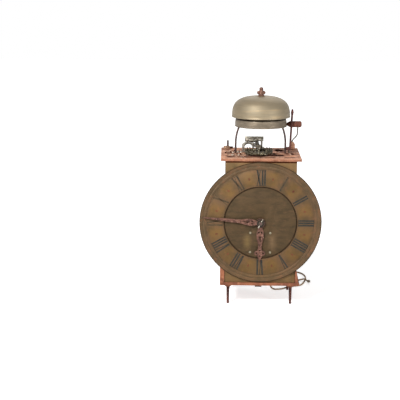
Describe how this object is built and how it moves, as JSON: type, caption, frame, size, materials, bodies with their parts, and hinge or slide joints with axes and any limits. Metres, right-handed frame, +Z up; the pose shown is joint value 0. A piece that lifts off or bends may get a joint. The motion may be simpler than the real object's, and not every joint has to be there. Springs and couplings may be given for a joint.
{
  "type": "lantern clock",
  "caption": "Posted iron lantern clock with a large round dial, pierced hands, verge escapement, two trains, bells with hammers above the top plate, short pendulum and a pull cord",
  "frame": {"origin": "floor level under the middle of the clock", "axes": "X to the right seen from the dial, Y from the dial to the back, Z up"},
  "size_m": [0.21, 0.254, 0.3766],
  "materials": {
    "red_iron": "rusted, reddish",
    "dark_iron": "dark forged",
    "brass": "aged",
    "old_brass": "dull, mottled",
    "bell_brass": "turned, aged",
    "steel": "grey",
    "rose_iron": "red-brown",
    "cord": "twisted hemp"
  },
  "bodies": {
    "clock_frame": {"base_plate": "red_iron", "top_plate": "red_iron", "front_left_post": "dark_iron", "front_right_post": "dark_iron", "back_left_post": "dark_iron", "back_right_post": "dark_iron", "foot_collars": "red_iron", "front_plate": "old_brass", "back_plate": "red_iron", "front_bar": "dark_iron", "middle_bar": "dark_iron", "back_bar": "dark_iron", "bar_wedges": "steel", "chapter_ring": "brass", "dial_centre": "old_brass", "dial_rivets": "steel", "bell_stand": "dark_iron", "lower_bell": "bell_brass", "bell_spacer": "dark_iron", "upper_bell": "bell_brass", "bell_nut": "rose_iron", "verge_bridge": "steel", "bridge_bar": "steel", "bridge_screws": "steel", "front_cock": "dark_iron", "rear_cock": "dark_iron", "hand_pin": "steel", "left_pin": "dark_iron", "left_pin_block": "rose_iron", "half_hour_post": "steel", "pull_cord_lead": "cord", "pull_cord_coil": "cord", "pull_cord_tail": "cord"},
    "left_door_leaf": {"left_door": "old_brass"},
    "right_door_leaf": {"right_door": "old_brass"},
    "minute_hand_set": {"minute_hand": "rose_iron", "minute_wheel": "brass"},
    "hour_hand_set": {"hour_hand": "rose_iron", "hour_wheel": "brass"},
    "motion_wheel_set": {"motion_wheel": "brass"},
    "driving_wheel_set": {"driving_wheel": "brass"},
    "going_great_set": {"going_great_wheel": "brass"},
    "going_pulley_set": {"going_pulley": "brass"},
    "second_wheel_set": {"second_wheel": "brass"},
    "contrate_wheel_set": {"contrate_wheel": "brass"},
    "crown_wheel_set": {"crown_wheel": "old_brass"},
    "verge_set": {"verge": "steel", "pendulum_rod": "steel", "pendulum_bob": "brass"},
    "strike_great_set": {"strike_great_wheel": "brass"},
    "strike_pulley_set": {"strike_pulley": "brass"},
    "hoop_wheel_set": {"hoop_wheel": "brass"},
    "warning_wheel_set": {"warning_wheel": "brass"},
    "fly_set": {"fly": "brass"},
    "count_wheel_set": {"count_wheel": "brass"},
    "hammer_set": {"hammer_arbor": "rose_iron", "hammer_stem": "steel", "hammer_head": "rose_iron"},
    "half_hour_set": {"half_hour_hammer": "dark_iron"},
    "detent_set": {"detent_arbor": "dark_iron"}
  },
  "joints": [
    {"name": "minute_hand_turn", "type": "hinge", "parent": "clock_frame", "child": "minute_hand_set", "pos_m": [0, -0.06, 0.15], "axis": [0, 1, 0], "continuous": true},
    {"name": "hour_hand_turn", "type": "hinge", "parent": "clock_frame", "child": "hour_hand_set", "pos_m": [0, -0.063, 0.15], "axis": [0, 1, 0], "continuous": true},
    {"name": "motion_wheel_turn", "type": "hinge", "parent": "clock_frame", "child": "motion_wheel_set", "pos_m": [0.00989, -0.061, 0.17448], "axis": [0, 1, 0], "continuous": true},
    {"name": "driving_wheel_turn", "type": "hinge", "parent": "clock_frame", "child": "driving_wheel_set", "pos_m": [0, -0.0587, 0.108], "axis": [0, 1, 0], "continuous": true},
    {"name": "contrate_wheel_turn", "type": "hinge", "parent": "clock_frame", "child": "contrate_wheel_set", "pos_m": [-0.0035, -0.028, 0.17284], "axis": [0, 1, 0], "continuous": true},
    {"name": "going_great_wheel_turn", "type": "hinge", "parent": "clock_frame", "child": "going_great_set", "pos_m": [0, -0.0447, 0.108], "axis": [0, 1, 0], "continuous": true},
    {"name": "second_wheel_turn", "type": "hinge", "parent": "clock_frame", "child": "second_wheel_set", "pos_m": [-0.012, -0.012, 0.14616], "axis": [0, 1, 0], "continuous": true},
    {"name": "crown_wheel_turn", "type": "hinge", "parent": "clock_frame", "child": "crown_wheel_set", "pos_m": [-0.0035, -0.02, 0.266], "axis": [0, 0, 1], "continuous": true},
    {"name": "going_pulley_turn", "type": "hinge", "parent": "going_great_set", "child": "going_pulley_set", "pos_m": [0, -0.032, 0.108], "axis": [0, 1, 0], "continuous": true},
    {"name": "pendulum_swing", "type": "hinge", "parent": "clock_frame", "child": "verge_set", "pos_m": [-0.0035, 0, 0.2768], "axis": [0, 1, 0], "range_deg": [-15, 15]},
    {"name": "hoop_wheel_turn", "type": "hinge", "parent": "clock_frame", "child": "hoop_wheel_set", "pos_m": [-0.012, 0.039, 0.14616], "axis": [0, 1, 0], "continuous": true},
    {"name": "strike_great_wheel_turn", "type": "hinge", "parent": "clock_frame", "child": "strike_great_set", "pos_m": [0, 0.008, 0.108], "axis": [0, 1, 0], "continuous": true},
    {"name": "warning_wheel_turn", "type": "hinge", "parent": "clock_frame", "child": "warning_wheel_set", "pos_m": [-0.002, 0.047, 0.17231], "axis": [0, 1, 0], "continuous": true},
    {"name": "fly_turn", "type": "hinge", "parent": "clock_frame", "child": "fly_set", "pos_m": [-0.008, 0.022, 0.19306], "axis": [0, 1, 0], "continuous": true},
    {"name": "count_wheel_turn", "type": "hinge", "parent": "clock_frame", "child": "count_wheel_set", "pos_m": [0, 0.0675, 0.0772], "axis": [0, 1, 0], "continuous": true},
    {"name": "strike_pulley_turn", "type": "hinge", "parent": "strike_great_set", "child": "strike_pulley_set", "pos_m": [0, 0.027, 0.108], "axis": [0, 1, 0], "continuous": true},
    {"name": "hammer_swing", "type": "hinge", "parent": "clock_frame", "child": "hammer_set", "pos_m": [0.0587, 0.057, 0.264], "axis": [0, 0, 1], "range_deg": [0, 12], "stiffness_Nm_per_rad": 0.15, "springref_deg": -2.86},
    {"name": "half_hour_hammer_swing", "type": "hinge", "parent": "clock_frame", "child": "half_hour_set", "pos_m": [0.0504, 0.003, 0.2689], "axis": [0, 1, 0], "range_deg": [0, 8], "stiffness_Nm_per_rad": 0.06, "springref_deg": -14.32},
    {"name": "detent_lift", "type": "hinge", "parent": "clock_frame", "child": "detent_set", "pos_m": [-0.038, 0, 0.202], "axis": [0, 1, 0], "range_deg": [0, 8], "stiffness_Nm_per_rad": 0.3, "springref_deg": -5.73},
    {"name": "left_door_turn", "type": "hinge", "parent": "clock_frame", "child": "left_door_leaf", "pos_m": [-0.0603, 0.0515, 0.15], "axis": [0, 0, -1], "range_deg": [0, 100]},
    {"name": "right_door_turn", "type": "hinge", "parent": "clock_frame", "child": "right_door_leaf", "pos_m": [0.0603, 0.0515, 0.15], "axis": [0, 0, 1], "range_deg": [0, 100]}
  ],
  "couplings": [
    {"joint": "hour_hand_turn", "follows": "minute_hand_turn", "ratio": 0.083333},
    {"joint": "motion_wheel_turn", "follows": "minute_hand_turn", "ratio": -0.33333},
    {"joint": "driving_wheel_turn", "follows": "minute_hand_turn", "ratio": -1},
    {"joint": "contrate_wheel_turn", "follows": "crown_wheel_turn", "ratio": 0.22222},
    {"joint": "second_wheel_turn", "follows": "crown_wheel_turn", "ratio": -0.037037},
    {"joint": "going_great_wheel_turn", "follows": "crown_wheel_turn", "ratio": 0.005291},
    {"joint": "fly_turn", "follows": "warning_wheel_turn", "ratio": -5},
    {"joint": "hoop_wheel_turn", "follows": "warning_wheel_turn", "ratio": -0.16667},
    {"joint": "strike_great_wheel_turn", "follows": "warning_wheel_turn", "ratio": 0.02381},
    {"joint": "count_wheel_turn", "follows": "warning_wheel_turn", "ratio": -0.0039683}
  ]
}
